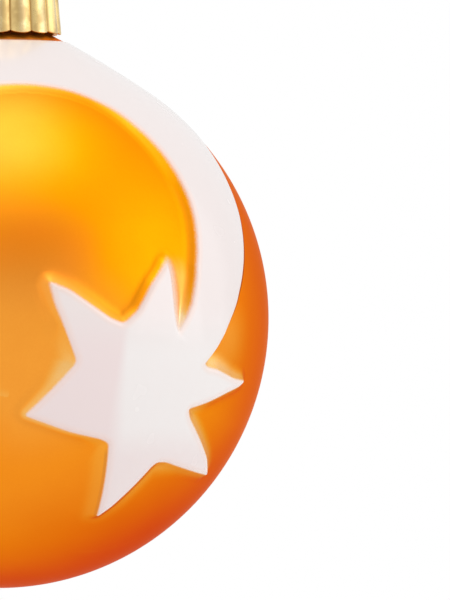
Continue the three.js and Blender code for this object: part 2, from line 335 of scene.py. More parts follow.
floor_material, tree, paper = new_material("pale floor")
feed(paper, {"Base Color": FLOOR_COLOUR, "Roughness": 0.9})
path = put(tree, "ShaderNodeLightPath")
camera_ray = path["Is Camera Ray"]
mirrored = 1.0 - camera_ray
seen = larger(larger(camera_ray, path["Is Glossy Ray"]), path["Is Transmission Ray"])
far = between(of_places("LENGTH", here(tree)), FADE_FROM, FADE_TO)
far = larger(far, mirrored * MIRRORED_WHITE)
behind = between(put(tree, "ShaderNodeSeparateXYZ", Vector=here(tree))["Y"], 0.0, DIM_TO)
dimmer = 1.0 - mirrored * behind * MIRRORED_DIM
white = put(tree, "ShaderNodeEmission", Color=(1, 1, 1, 1), Strength=dimmer)
mixed = put(tree, "ShaderNodeMixShader", Fac=seen * far)
feed(mixed.socket.node, {1: Wire(paper.outputs[0]), 2: white})
feed(tree.nodes["Material Output"], {"Surface": mixed})
floor_data.materials.append(floor_material)
print("floor at height", FLOOR_HEIGHT)

# %% [markdown]
# ## Places on the ball
#
# A place on the ball is a direction from its middle. The star was drawn flat and laid on the
# ball, so its outline is kept the way a draughtsman would note it: from the middle of the star, a
# bearing and a reach along the glass for each corner.

# %% Directions
def toward(longitude, latitude):
    """The direction of a place on the ball, with longitude counted from the front."""
    lon, lat = math.radians(longitude), math.radians(latitude)
    return np.array(
        (math.sin(lon) * math.cos(lat), -math.cos(lon) * math.cos(lat), math.sin(lat))
    )


def reach_and_bearing(directions, longitude, latitude):
    """The distance along the glass from a place in mm, and the bearing in degrees from right."""
    middle = toward(longitude, latitude)
    right = np.cross((0, 0, 1), middle)
    right /= np.linalg.norm(right)
    above = np.cross(middle, right)
    reach = np.arccos(np.clip(directions @ middle, -1, 1)) * BALL_RADIUS
    return reach, np.degrees(np.arctan2(directions @ above, directions @ right))


def ease(value, low, high):
    """0 below low, 1 above high, and a smooth S between them."""
    t = np.clip((value - low) / (high - low), 0, 1)
    return t * t * t * (t * (6 * t - 15) + 10)


# %% The star's outline
STAR_MIDDLE = (34.6, -15.3)  # longitude and latitude
STAR_OUTLINE = [  # bearing in degrees and reach in mm, counter-clockwise from the right-hand arm
    (0.9, 20.1), (4.0, 16.5), (14.0, 12.2), (20.5, 10.0), (71.5, 9.8), (77.5, 12.2), (80.4, 14.7),
    (82.6, 17.6), (84.7, 18.8), (94.9, 15.6), (108.8, 12.3), (121.6, 11.6), (127.8, 13.3),
    (135.2, 20.4), (138.6, 23.2), (143.6, 20.6), (162.4, 13.5), (193.6, 19.7), (208.0, 13.55),
    (224.4, 10.1), (232.9, 9.6), (262.2, 20.9), (266.1, 18.7), (284.3, 11.8), (289.3, 11.4),
    (296.3, 12.1), (319.3, 22.9), (322.3, 18.9), (331.6, 8.7), (339.5, 7.3), (350.5, 11.1),
    (356.7, 15.1), (359.2, 18.9),
]  # fmt: skip
CORNER_ROUND = 0.7  # how much of a side is taken up by the rounding at each end, in mm
MOST_ROUND = 0.4  # and the largest share of a side that it may take up


def rounded_outline(points, rounding):
    """Points as flat places, each corner eased by a short arc."""
    flat = []
    for bearing, reach in points:
        angle = math.radians(bearing)
        flat.append(np.array((reach * math.cos(angle), reach * math.sin(angle))))
    outline = []
    for i, corner in enumerate(flat):
        before, after = flat[i - 1] - corner, flat[(i + 1) % len(flat)] - corner
        start = corner + before * min(MOST_ROUND, rounding / np.linalg.norm(before))
        end = corner + after * min(MOST_ROUND, rounding / np.linalg.norm(after))
        for t in (0, 0.25, 0.5, 0.75, 1):
            outline.append((1 - t) ** 2 * start + 2 * t * (1 - t) * corner + t * t * end)
    return np.array(outline)


star_outline = rounded_outline(STAR_OUTLINE, CORNER_ROUND)
print("the star's outline has", len(star_outline), "points")

# %% [markdown]
# ## The tail's outline
#
# The tail is a band that runs round a circle on the ball. Its inner edge is the circle, and its
# width grows up to the neck and then shrinks to a point on the far side. A smooth line through a
# few measured widths describes it.

# %% The tail's outline
TAIL_CIRCLE = (8.11, 19.33)  # longitude and latitude of the circle's middle
TAIL_REACH = 25.78  # mm along the glass from there to the circle
TAIL_START = -66  # bearing round the circle where the band starts, beside the star
START_SLOPE = 0.35  # mm that a place lies inside the tail for each degree past its start
TAIL_SWAY = [  # bearing round the circle in degrees, how far the inner edge strays outward in mm
    (-60, 0.0), (-40, 0.05), (-31, 0.3), (-27, 0.45), (-22, 0.5), (-17, 0.25), (-12, 0.05),
    (-8, -0.15), (0, -0.09), (5, -0.02), (9, 0.07), (16, 0.15), (23, 0.0), (28, 0.05), (35, 0.2),
    (41, 0.32), (47, 0.47), (53, 0.81), (57, 1.0), (66, 1.22), (72, 1.25), (81, 1.11),
    (110, 1.0), (150, 0.4), (212, 0.0),
]  # fmt: skip
TAIL_WIDTHS = [  # bearing round the circle in degrees, width in mm
    (-66, 5.6), (-60, 5.9), (-50, 6.45), (-40, 7.25), (-30, 8.0), (-20, 9.15), (-10, 11.2),
    (0, 12.95), (10, 14.55), (20, 16.25), (30, 17.9), (45, 20.9), (60, 24.4), (75, 29.2),
    (90, 33.4), (105, 34.2), (120, 32.2), (150, 22.6), (180, 11.0), (206, 1.4), (212, -1.0),
]  # fmt: skip
ENAMEL_OPENING = 9.85  # radius of the bare glass round the neck


def through(points, x):
    """A smooth line through points, for an array of places along it."""
    xs, ys = np.array(points, float).T
    slope = np.gradient(ys, xs)
    i = np.clip(np.searchsorted(xs, x) - 1, 0, len(xs) - 2)
    gap = xs[i + 1] - xs[i]
    t = np.clip((x - xs[i]) / gap, 0, 1)
    return (
        ys[i] * (1 + 2 * t) * (1 - t) ** 2
        + slope[i] * gap * t * (1 - t) ** 2
        + ys[i + 1] * t * t * (3 - 2 * t)
        - slope[i + 1] * gap * t * t * (1 - t)
    )


print("the tail is at most", max(width for _, width in TAIL_WIDTHS), "mm wide")

# %% [markdown]
# ## How far inside the enamel a place is
#
# One number steers both the shape and the colour near the enamel: the distance to the enamel's
# edge, positive on the enamel and negative on the bare lacquer. It is worked out for the star and
# for the tail, and the two are run together with a small fillet in the notches between them.

# %% Distances
def inside_outline(points, outline):
    """Distance of flat places to an outline, positive inside it."""
    nearest = np.full(len(points), np.inf)
    crossings = np.zeros(len(points), int)
    x, y = points.T
    for start, end in zip(outline, np.roll(outline, -1, axis=0)):
        side = end - start
        t = np.clip((points - start) @ side / (side @ side), 0, 1)
        nearest = np.minimum(nearest, np.hypot(*(points - start - np.outer(t, side)).T))
        if start[1] != end[1]:
            where = start[0] + (y - start[1]) * side[0] / side[1]
            crossings += ((start[1] > y) != (end[1] > y)) & (x < where)
    return np.where(crossings % 2 == 1, nearest, -nearest)


def run_together(first, second, fillet):
    """The larger of two distances, rounded where they are nearly the same."""
    near = np.clip(1 - np.abs(first - second) / fillet, 0, 1)
    return np.maximum(first, second) + fillet * near * near / 4


STAR_CIRCLE = 27.0  # a circle in mm round the star's middle that holds all of the star
OUTLINE_NEEDED = 30.0  # mm from the star's middle, past which that circle does for the outline
COUNT_FROM = -100  # bearings round the tail's circle are counted from here
LEAST_TURN = 0.2  # keeps the lean of the outer edge sound near the middle of the circle
FAR_AWAY = 99.0


def enamel_distances(directions):
    """Distance inside the star, past the tail's inner edge and short of its outer edge, the width
    of the tail, the bearing round its circle, and the distance past the bare ring at the neck."""
    reach, bearing = reach_and_bearing(directions, *STAR_MIDDLE)
    angle = np.radians(bearing)
    flat = np.stack((reach * np.cos(angle), reach * np.sin(angle)), axis=1)
    inside = inside_outline(flat, star_outline)
    star = np.where(reach < OUTLINE_NEEDED, inside, STAR_CIRCLE - reach)

    reach, bearing = reach_and_bearing(directions, *TAIL_CIRCLE)
    bearing = np.where(bearing < COUNT_FROM, bearing + 360, bearing)
    width = through(TAIL_WIDTHS, bearing)
    grows = np.degrees(through(TAIL_WIDTHS, bearing + 1) - through(TAIL_WIDTHS, bearing - 1)) / 2
    lean = grows / (BALL_RADIUS * np.maximum(np.sin(reach / BALL_RADIUS), LEAST_TURN))
    inner = reach - TAIL_REACH - np.interp(bearing, *np.array(TAIL_SWAY).T)
    outer = (width - inner) / np.hypot(1, lean)
    outer = np.minimum(outer, (bearing - TAIL_START) * START_SLOPE)

    from_axis = np.hypot(directions[:, 0], directions[:, 1]) * glass_radius(directions)
    neck = np.where(directions[:, 2] > 0, from_axis - ENAMEL_OPENING, FAR_AWAY)
    return star, inner, outer, width, bearing, neck


# %% The drawn shoulder of the glass
SHOULDER_START = math.radians(56)  # the latitude where it leaves the true ball
SHOULDER_LIFT = 5.6  # mm that it would be lifted at the axis


def glass_radius(directions):
    """The glass is a true ball up to its shoulder, which is drawn up towards the neck."""
    latitude = np.arcsin(np.clip(directions[:, 2], -1, 1))
    up = np.clip((latitude - SHOULDER_START) / (math.pi / 2 - SHOULDER_START), 0, 1)
    return BALL_RADIUS + SHOULDER_LIFT * up * up


print("the shoulder starts", round(BALL_RADIUS * math.sin(SHOULDER_START), 1), "mm up")

# %% [markdown]
# ## The height of the relief
#
# The enamel stands a little over a millimetre proud. It doesn't end in a step: the lacquer climbs
# up to it in a hollow curve about two millimetres wide, and the enamel goes on as steeply for a
# third of a millimetre and then bends over clearly at its top. How steep the surface is, from
# place to place, is what the eye reads in the reflections, so the climb is given by its slopes
# and added up into a height. The outer edge of the tail is different. There the enamel thins out
# and ends nearly flush, with a crisp edge.

# %% Relief
BESIDE_STAR = [  # bearing round the star, how much lighter the lacquer is beside it, thinner and painted with a highlight, how far out in mm that reaches, and how much painted shade darkens it just beyond
    # out in mm that reaches, and how heavy the lacquer is just beyond
    (0, 0.7, 1.2, 0), (4, 0.9, 2.0, 0), (12, 1.0, 2.8, 0), (22, 1.0, 3.6, 0), (40, 0.6, 3.0, 0),
    (66, 1.0, 2.8, 0), (83, 1.0, 2.6, 0), (88, 0.2, 0.8, 0.05), (92, 0.15, 0.5, 0.1),
    (106, 0.15, 0.5, 0.1), (114, 0.25, 1.0, 0.05), (120, 0.3, 1.4, 0), (135, 0.25, 1.6, 0),
    (141, 0.2, 2.0, 0), (150, 0.12, 1.0, 0.12), (158, 0.3, 2.6, 0), (166, 0.7, 3.4, 0),
    (172, 0.7, 2.6, 0), (180, 0.55, 1.6, 0.05), (190, 0.5, 1.2, 0.12), (200, 0.55, 1.0, 0.12),
    (215, 0.45, 1.0, 0.1), (228, 0.35, 2.0, 0), (236, 0.3, 3.4, 0), (262, 0.3, 3.4, 0),
    (275, 0.6, 4.2, 0), (290, 0.7, 4.0, 0), (305, 0.6, 2.4, 0), (318, 0.7, 1.6, 0),
    (325, 1.0, 2.8, 0), (338, 0.9, 2.8, 0), (350, 0.45, 1.2, 0),
]  # fmt: skip
BESIDE_TAIL = [  # the same beside the tail's inner edge, by the bearing round its circle
    (-66, 0.4, 2.0, 0), (-20, 0.3, 1.2, 0), (-12, 0.1, 0.6, 0.12), (-2, 0.1, 0.5, 0.2),
    (12, 0.1, 0.5, 0.2), (22, 0.15, 1.5, 0.1), (32, 0.25, 3.0, 0), (50, 0.35, 3.0, 0),
    (75, 0.15, 2.5, 0), (212, 0.1, 2.0, 0),
]  # fmt: skip
STAR_EDGE = [  # bearing round the star, how soft the sprayed edge is, how far in mm the white shows beyond the enamel, partly a painted cream highlight beside the top arm, and how steeply the lacquer climbs (less than 1 is gentler)
    # shows beyond the enamel, and how steeply the lacquer climbs (less than 1 is gentler)
    (0, 0.8, 0, 1), (30, 0.9, 0, 1), (62, 1.5, 0.2, 0.9), (68, 4.4, 0.5, 0.8), (83, 4.4, 0.5, 0.8),
    (86, 1.6, 0.1, 0.9), (92, 1.0, 0, 1.3), (108, 0.9, 0, 1.3), (120, 0.8, 0, 1.1),
    (128, 0.8, 0, 0.9), (138, 1.3, 0, 0.75), (144, 1.0, 0, 0.8), (152, 0.6, 0, 0.9),
    (164, 0.6, 0, 0.9), (175, 0.75, 0, 1), (222, 0.75, 0, 1), (240, 0.42, 0, 1), (265, 0.45, 0, 1),
    (290, 0.6, 0, 1), (320, 0.8, 0, 1), (335, 1.0, 0, 1), (350, 0.8, 0, 1),
]  # fmt: skip
TAIL_SOFTNESS = [(-30, 1.2), (-15, 1.3), (10, 1.3), (35, 1.5), (55, 2.0), (80, 2.2), (212, 1.5)]
TAIL_OUTER_SOFTNESS = 0.3
CLIMB = [  # distance inside the edge in mm, and how steep the surface is there
    (-2.1, 0.0), (-1.6, 0.22), (-1.1, 0.45), (-0.5, 0.60), (0.1, 0.60), (0.35, 0.50),
    (0.6, 0.08), (1.1, 0.0),
]  # fmt: skip

climb_at = np.linspace(CLIMB[0][0], CLIMB[-1][0], 400)
climb_slope = np.interp(climb_at, *np.array(CLIMB).T)
climb_height = np.concatenate(((0,), np.cumsum((climb_slope[1:] + climb_slope[:-1]) / 2)))
climb_height *= climb_at[1] - climb_at[0]
RELIEF = climb_height[-1]
print("the relief stands", round(RELIEF, 2), "mm proud")


def climb(inside):
    """How far up the relief a place is, from 0 to 1, by its distance inside the edge."""
    return np.interp(inside, climb_at, climb_height) / RELIEF


def by_bearing(table, bearing):
    """The columns of a table whose first column is a bearing, read off at other bearings."""
    bearings, *columns = np.array(table).T
    return [np.interp(bearing, bearings, column, period=360) for column in columns]


# %% The lacquer beside an edge
THINNED_TO, SHADE_FROM = 0.15, 0.4  # shares of the reach from which one fades, the other grows
SHADE_FADES = 1.4  # mm beyond the reach in which the painted shade fades back to the plain lacquer
SHADE_UNDER = 0.4  # mm inside the edge in which it grows under the white


def lacquer_beside(table, bearing, inside):
    """How much lighter the lacquer is beside an edge, thinner and with a painted highlight, or
    below nothing where painted shade darkens it.
    """
    lighter_share, reach, painted_shading = by_bearing(table, bearing)
    outside = -inside
    near = 1 - ease(outside, THINNED_TO * reach, reach)
    ring = ease(outside, SHADE_FROM * reach, reach)
    ring = ring * (1 - ease(outside, reach, reach + SHADE_FADES))
    return lighter_share * near - painted_shading * np.where(inside > 0, ease(inside, 0.0, SHADE_UNDER), ring)


# %% The whole relief
TAIL_LOWERED = [(25, 1), (45, 0.6), (65, 0.2), (90, 0.25), (130, 0.8)]  # bearing, share of relief
TAIL_THINS = (-42, 4)  # bearings between which the tail's outer edge gets thin
TAIL_OUTER_HEIGHT = 0.16  # mm that it stands proud there
TAIL_FULL_WIDTH = 7.0  # mm, and where the tail is narrower it is lower too
OUTER_CURVE = (-0.16, 0.34)  # mm inside the outer edge where the height starts and is full
OUTER_BAND = (1.0, 3.0)  # mm inside it where the softness goes over to the inner edge's
NECK_CURVE = (-0.3, 0.4)  # mm beyond the bare ring where the height starts and is full
HEIGHT_FILLET, EDGE_FILLET = 0.12, 0.5  # mm, in the notches between the star and the tail
LEAST_HEIGHT = 0.001
STAR_TO_TAIL = 1.2  # mm each way in which the star's edge goes over to the tail's
TAIL_SIDE = -0.5  # mm inside the outer edge from which a place lies beside the inner one


def relief_of(directions):
    """Height above the glass, distance inside the enamel's edge, distance inside the edge of the
    white, how soft that edge is, and how much lighter the lacquer is, thinner and with a painted
    highlight, or below nothing where painted shade darkens it."""
    star, inner, outer, width, bearing, neck = enamel_distances(directions)
    _, star_bearing = reach_and_bearing(directions, *STAR_MIDDLE)
    star_soft, white_beyond, gentle = by_bearing(STAR_EDGE, star_bearing)
    star_height = RELIEF * climb(np.where(star < 0, star * gentle, star))
    share = np.clip(inner / np.maximum(width, 1), 0, 1)
    thins = ease(bearing, *TAIL_THINS)
    lowered = np.interp(bearing, *np.array(TAIL_LOWERED).T)
    top = RELIEF * lowered * (1 - share * thins) + TAIL_OUTER_HEIGHT * share * thins
    top *= np.clip(width / TAIL_FULL_WIDTH, 0, 1)
    tail_height = top * climb(inner) * ease(outer, *OUTER_CURVE)
    height = run_together(star_height, tail_height, HEIGHT_FILLET)
    height = np.where(np.maximum(star_height, tail_height) < LEAST_HEIGHT, 0.0, height)
    height = height * ease(neck, *NECK_CURVE)
    tail = np.minimum(inner, outer)
    edge = np.minimum(run_together(star, tail, EDGE_FILLET), neck)

    by_star = ease(star - tail, -STAR_TO_TAIL, STAR_TO_TAIL)
    (tail_soft,) = by_bearing(TAIL_SOFTNESS, bearing)
    at_outer = TAIL_OUTER_SOFTNESS + (1 - TAIL_OUTER_SOFTNESS) * ease(outer, *OUTER_BAND)
    tail_soft = np.where(outer < inner, at_outer, tail_soft)
    soft = star_soft * by_star + tail_soft * (1 - by_star)

    # Lighter, thinner lacquer with a painted highlight beside the lit sides, and painted shade
    # beside the shaded ones.
    spared = lacquer_beside(BESIDE_STAR, star_bearing, star)
    on_this_side = (star < 0) & (inner < 0) & (outer > TAIL_SIDE)
    spared = spared + np.where(on_this_side, lacquer_beside(BESIDE_TAIL, bearing, inner), 0)
    return height, edge, edge + white_beyond * by_star, soft, np.clip(spared, -1, 1)


# %% [markdown]
# ## The skin of the ball
#
# The glass could be a plain ball with the star floated over it, but then the lacquer couldn't
# climb up to the enamel. So the surface starts as rings turned about the upright axis, and is cut
# finer only near the enamel's edge. The glass and the enamel are then both taken from this one
# skin, and meet without a gap.

# %% Rings turned about the axis
COLUMNS = 240
OUTER_RINGS, INNER_RINGS = 113, 32
NECK_RADIUS, NECK_WALL, GLASS_WALL = 7.25, 1.2, 1.0
FOOT_FILLET = 0.8  # the hollow rounding at the foot of the neck


def shoulder_point(from_axis, depth=0.0):
    """Where the glass, set in by a depth, is that far from the axis: (from the axis, height)."""
    low, high = SHOULDER_START, math.radians(89)
    for _ in range(50):
        middle = (low + high) / 2
        radius = glass_radius(np.array([[0, 0, math.sin(middle)]]))[0] - depth
        if radius * math.cos(middle) > from_axis:
            low = middle
        else:
            high = middle
    return middle, (from_axis, radius * math.sin(middle))


def glass_rows():
    """The glass in section, from the bottom up outside and down again inside, and how many of its
    points lie on the ball's outside, below the neck."""
    foot_latitude, foot = shoulder_point(NECK_RADIUS + FOOT_FILLET)
    _, corner = shoulder_point(NECK_RADIUS)
    above = (NECK_RADIUS, corner[1] + FOOT_FILLET)
    rows = []
    for latitude in np.linspace(-math.pi / 2, foot_latitude, OUTER_RINGS)[1:]:
        radius = glass_radius(np.array([[0, 0, math.sin(latitude)]]))[0]
        rows.append((radius * math.cos(latitude), radius * math.sin(latitude)))
    outside = len(rows)
    for t in (0.25, 0.5, 0.75, 1.0):
        shares = np.array(((1 - t) ** 2, 2 * t * (1 - t), t * t))
        rows.append(tuple(shares @ np.array((foot, corner, above))))
    rim = NECK_WALL / 2
    for angle in np.linspace(0, math.pi, 9):
        from_axis = NECK_RADIUS - rim + rim * math.cos(angle)
        rows.append((from_axis, NECK_RIM - rim + rim * math.sin(angle)))
    inner_latitude, _ = shoulder_point(NECK_RADIUS - NECK_WALL, GLASS_WALL)
    for latitude in np.linspace(inner_latitude, -math.pi / 2, INNER_RINGS)[:-1]:
        radius = glass_radius(np.array([[0, 0, math.sin(latitude)]]))[0] - GLASS_WALL
        rows.append((radius * math.cos(latitude), radius * math.sin(latitude)))
    return rows, outside


def turn(rows, columns, low_end=None, high_end=None):
    """A mesh of rings about the upright axis, closed at each end by a point on the axis."""
    mesh = bmesh.new()
    angles = np.linspace(0, 2 * math.pi, columns, endpoint=False)
    rings = []
    for r, z in rows:
        rings.append([mesh.verts.new((r * math.cos(a), r * math.sin(a), z)) for a in angles])
    for lower, upper in zip(rings, rings[1:]):
        for i in range(columns):
            j = (i + 1) % columns
            mesh.faces.new((lower[i], lower[j], upper[j], upper[i]))
    for height, ring, turned in ((low_end, rings[0], True), (high_end, rings[-1], False)):
        if height is not None:
            tip = mesh.verts.new((0, 0, height))
            for i in range(columns):
                j = (i + 1) % columns
                mesh.faces.new((tip, ring[j], ring[i]) if turned else (tip, ring[i], ring[j]))
    return mesh


rows, outside_rows = glass_rows()
skin = turn(rows, COLUMNS, low_end=-BALL_RADIUS, high_end=-BALL_RADIUS + GLASS_WALL)
skin.verts.ensure_lookup_table()
print("the turned glass has", len(skin.verts), "points")

# %% Cut the skin finer near the enamel
CUT_FINER = [(-3.4, 2.2), (-2.5, 1.4), (-0.75, 0.75)]  # mm inside the enamel's edge, from and to
OUTSIDE_FROM = BALL_RADIUS - 0.5  # a new point this far from the middle is on the outside

outside_mark = skin.verts.layers.int.new("outside")
last_outside, bottom = outside_rows * COLUMNS, len(rows) * COLUMNS
for i, vert in enumerate(skin.verts):
    vert[outside_mark] = int(i < last_outside or i == bottom)


def directions_of(mesh):
    points = np.array([v.co[:] for v in mesh.verts])
    return points / np.linalg.norm(points, axis=1, keepdims=True)


for low, high in CUT_FINER:
    edge = relief_of(directions_of(skin))[1]
    near = (edge > low) & (edge < high)
    for vert, is_near in zip(skin.verts, near):
        vert.tag = bool(is_near) and vert[outside_mark] == 1
    faces = [
        face
        for face in skin.faces
        if any(v.tag for v in face.verts) and all(v[outside_mark] for v in face.verts)
    ]
    edges = list({e for face in faces for e in face.edges})
    bmesh.ops.subdivide_edges(skin, edges=edges, cuts=1, use_grid_fill=True)
    for vert in skin.verts:
        inside_face = all(v[outside_mark] for face in vert.link_faces for v in face.verts)
        if inside_face and vert.co.length > OUTSIDE_FROM:
            vert[outside_mark] = 1
    print("cut finer between", low, "and", high, "mm:", len(skin.verts), "points")

# %% [markdown]
# ## The glass ball and the enamel on it
#
# Both pieces are copies of the skin. The glass keeps all of it, follows the climb up to the
# enamel's edge and drops back to the plain ball underneath. The enamel keeps only what lies
# inside its edge, with a narrow foot that dips into the lacquer. Each point remembers its
# distance to the edge, for the finishes to use.

# %% Copies of the skin
skin.verts.ensure_lookup_table()
skin.verts.index_update()
skin_points = np.array([v.co[:] for v in skin.verts])
skin_outside = np.array([v[outside_mark] for v in skin.verts], bool)
skin_directions = directions_of(skin)
skin_faces = [[v.index for v in face.verts] for face in skin.faces]
skin.free()
relief, inside_enamel, edge_distance, edge_softness, lacquer_spared = relief_of(skin_directions)
print("relief from", relief.min().round(3), "to", relief.max().round(3), "mm")


def remember(mesh, **numbers):
    """Keeps one number of each name for each point of a mesh."""
    for name, values in numbers.items():
        kept = mesh.attributes.new(name, "FLOAT", "POINT")
        kept.data.foreach_set("value", np.asarray(values, np.float32))


def remember_drawn_place(mesh, points):
    """Keeps for each point of a mesh where it lies in the metal, for the drawn lines."""
    kept = mesh.attributes.new("drawn_place", "FLOAT_VECTOR", "POINT")
    kept.data.foreach_set("vector", np.asarray(points, np.float32).ravel())


def remember_sharp_edges(mesh, degrees):
    """Marks the edges that bend more than an angle, so that they aren't smoothed over."""
    shaped = bmesh.new()
    shaped.from_mesh(mesh)
    for edge in shaped.edges:
        edge.smooth = len(edge.link_faces) == 2 and edge.calc_face_angle() < math.radians(degrees)
    shaped.to_mesh(mesh)
    shaped.free()


def make_piece(name, points, faces, material, body, stands_for):
    """A mesh from points in mm, put on its body in place of its engineering part."""
    mesh = bpy.data.meshes.new(name)
    mesh.from_pydata((np.asarray(points) * MM).tolist(), [], faces)
    mesh.update()
    mesh.shade_smooth()
    mesh.materials.append(material)
    piece = bpy.data.objects.new(name, mesh)
    bpy.context.scene.collection.objects.link(piece)
    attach(piece, body)
    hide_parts(stands_for)
    print(name, len(mesh.vertices), "points")
    return piece


# %% [markdown]
# ## Two effects that the finishes share
#
# The lacquer and the enamel meet in a sprayed edge. The enamel was masked while the lacquer went
# on, and a little lacquer crept under the mask, so the white fades into the amber through cream
# and peach, with a fine grain. The same group also paints light and shade at the edge: the
# lacquer thinner and painted lighter, as a highlight, beside the lit sides, and darker, as painted
# shade, beside the shaded ones, and a painted warm glow of bounced light just inside the white,
# with a little overspray. Both materials need exactly the same fade, so it is a group that each
# of them uses. The second group is a fine grain for satin and worn surfaces.

# %% The sprayed edge
SPECKLED = 1.4  # how much the grain shows in the thin lacquer
POOL_FAR, POOL_NEAR = (-0.55, -0.32), (-0.04, -0.16)  # mm inside the white: gone, and full
CRISP = (0.55, 0.30)  # lacquer doesn't pool at an edge softer than the first of these
WARM_GLOW_REACH = (1.30, 0.30)  # mm inside the white where the painted warm glow is gone, and where it is full

sprayed_edge_and_light, given, result = new_group(
    "Sprayed edge",
    {"Fade": 0.52, "Crisp": 0.10, "Grain": 0.30, "Grain Scale": 4600.0},
    ("Enamel", "Thin", "Pooled", "Blush"),
)
distance = remembered(sprayed_edge_and_light, "edge_distance")
softness = remembered(sprayed_edge_and_light, "edge_softness")
spared = remembered(sprayed_edge_and_light, "lacquer_spared")
speckle = (noise(sprayed_edge_and_light, given["Grain Scale"], 2.0) - 0.5) * given["Grain"]
fade = softness * given["Fade"] + given["Crisp"]
enamel_share = between(speckle * softness + distance, fade * -0.5, fade * 0.5)
# Thinner lacquer beside the lit sides of an edge, partly a painted highlight.
thin_and_lit = larger(spared, 0.0) * (speckle * SPECKLED + 1.0)
pool_and_shade = between(distance, *POOL_FAR) * between(distance, *POOL_NEAR)
# Lacquer pooled at a crisp edge, and painted shade beside the shaded sides.
pool_and_shade = larger(pool_and_shade * between(softness, *CRISP), smaller(spared, 0.0) * -1.0)
# A painted warm glow of light bounced from the amber just inside the white, with a little
# overspray.
warm_glow = between(distance, *WARM_GLOW_REACH) * smaller(softness, 1.0)
feed(result, {"Enamel": enamel_share, "Thin": thin_and_lit, "Pooled": pool_and_shade, "Blush": warm_glow})

# %% The fine grain
fine_grain, given, result = new_group(
    "Fine grain",
    {"Fine Scale": 3000.0, "Broad Scale": 260.0, "Broad Share": 0.5},
    ("Height", "Mottle"),
)
fine = noise(fine_grain, given["Fine Scale"], 3.0)
broad = noise(fine_grain, given["Broad Scale"], 2.0)
feed(result, {"Height": broad * given["Broad Share"] + fine, "Mottle": broad})

# %% [markdown]
# ## Satin amber lacquer
#
# The ball is silvered glass under a coloured frosted lacquer, so light comes back to the eye
# through the colour twice. That looks like a soft coloured metal: broad bright patches of the
# same hue, and a deeper red-orange towards the outline, where the light goes through more
# lacquer. A metallic surface with a tinted edge gives this without real silver behind real
# lacquer. The colour also holds painted light: painted shade low down and on the right, and
# painted highlights and a painted dark reflection in patches.

# %% Painted light and shade in the lacquer
PAINTED_LIGHT_PATCHES = {  # middle in mm from the middle of the ball, full within, gone beyond, in mm
    # The first patch is a painted highlight: yellower amber in the bright reflection of the light
    # above. The second, fourth and fifth are painted highlights in paler amber. The third is a
    # redder tint painted where the dark reflection of the photographer falls.
    "painted_shading": ((18.7, -30.3, 18.3), 8, 27),
    "pale_highlight": ((3.1, -39.5, -6.0), 5, 18),
    "dark_reflection": ((5.0, -38.6, 9.0), 2, 10),
    "tail_side_highlight": ((33.9, -20.9, -2.5), 0.5, 7),
    "wedge_highlight": ((26.2, -30.2, 2.5), 3, 6.5),  # between the top arm and the tail
}
UNREST = 0.012  # metres from side to side by which the outlines of the patches wander
WEDGE_LEFT, WEDGE_RIGHT = (0.0232, 0.0250), (0.0276, 0.0262)  # metres to the right: gone, full
LOW_SHADE = (0.022, 0.044)  # metres below the middle where the painted shade starts, and is deepest
LOW_ON_RIGHT = 0.35  # how much further down a place counts for each metre to the right
RIGHT_SHADE, RIGHT_SHADE_DEPTH = (0.029, 0.037), 0.28  # metres to the right, and how deep the painted shade gets there
TOP_LEFT_ACROSS, TOP_LEFT_DROP = (0.013, 0.002), (-0.018, -0.025)  # metres: gone, full
TOP_LEFT_HIGHLIGHT = 0.6
MIDDLE_HEIGHT = float(BALL_MIDDLE[2]) * MM

amber, tree, lacquer = new_material("satin amber lacquer")
place = here(tree)
unrest = (noise(tree, 38.0, 2.0, place) - 0.5) * UNREST
patches = {}
for name, (middle, narrow, wide) in PAINTED_LIGHT_PATCHES.items():
    apart = of_places("DISTANCE", place, Vector(np.array(middle) + BALL_MIDDLE) * MM)
    patches[name] = between(apart + unrest, wide * MM, narrow * MM)

parts = put(tree, "ShaderNodeSeparateXYZ", Vector=place)
x, drop = parts["X"], MIDDLE_HEIGHT - parts["Z"]
wedge_highlight = patches["wedge_highlight"] * between(x, *WEDGE_LEFT) * between(x, *WEDGE_RIGHT)
# Painted shade: deeper, darker amber low down and on the right side.
low_right_shade = between(drop + (x * LOW_ON_RIGHT + unrest), *LOW_SHADE)
low_right_shade = larger(low_right_shade, between(x, *RIGHT_SHADE) * RIGHT_SHADE_DEPTH)
# A painted highlight in paler amber at the top left.
top_left = between(x, *TOP_LEFT_ACROSS) * between(drop, *TOP_LEFT_DROP)
pale_highlight = larger(patches["pale_highlight"], top_left * TOP_LEFT_HIGHLIGHT)
print("the spray has", len(patches), "patches")

# %% Amber
AMBER = (0.930, 0.290, 0.013, 1)
YELLOW_HIGHLIGHT_AMBER = (0.930, 0.315, 0.001, 1)
SHADE_AND_GRAIN_AMBER = (0.750, 0.125, 0.004, 1)
PALE_HIGHLIGHT_AMBER = (0.940, 0.420, 0.066, 1)
DARK_REFLECTION_AMBER = (0.980, 0.262, 0.013, 1)
POOL_AND_SHADE_AMBER = (0.400, 0.110, 0.020, 1)
UNDERCOAT = (0.930, 0.800, 0.720, 1)
EDGE_WHITE = (0.930, 0.720, 0.640, 1)
POOL_AND_SHADE_SHARE = 0.75  # how much of the pooled colour shows where the lacquer pools, and where painted shade darkens it
THINNEST = 0.72  # how much of the lacquer's depth is gone where it is thinnest and painted lightest
SILVERED = 0.90  # how metallic the bare lacquer over the silvered glass looks


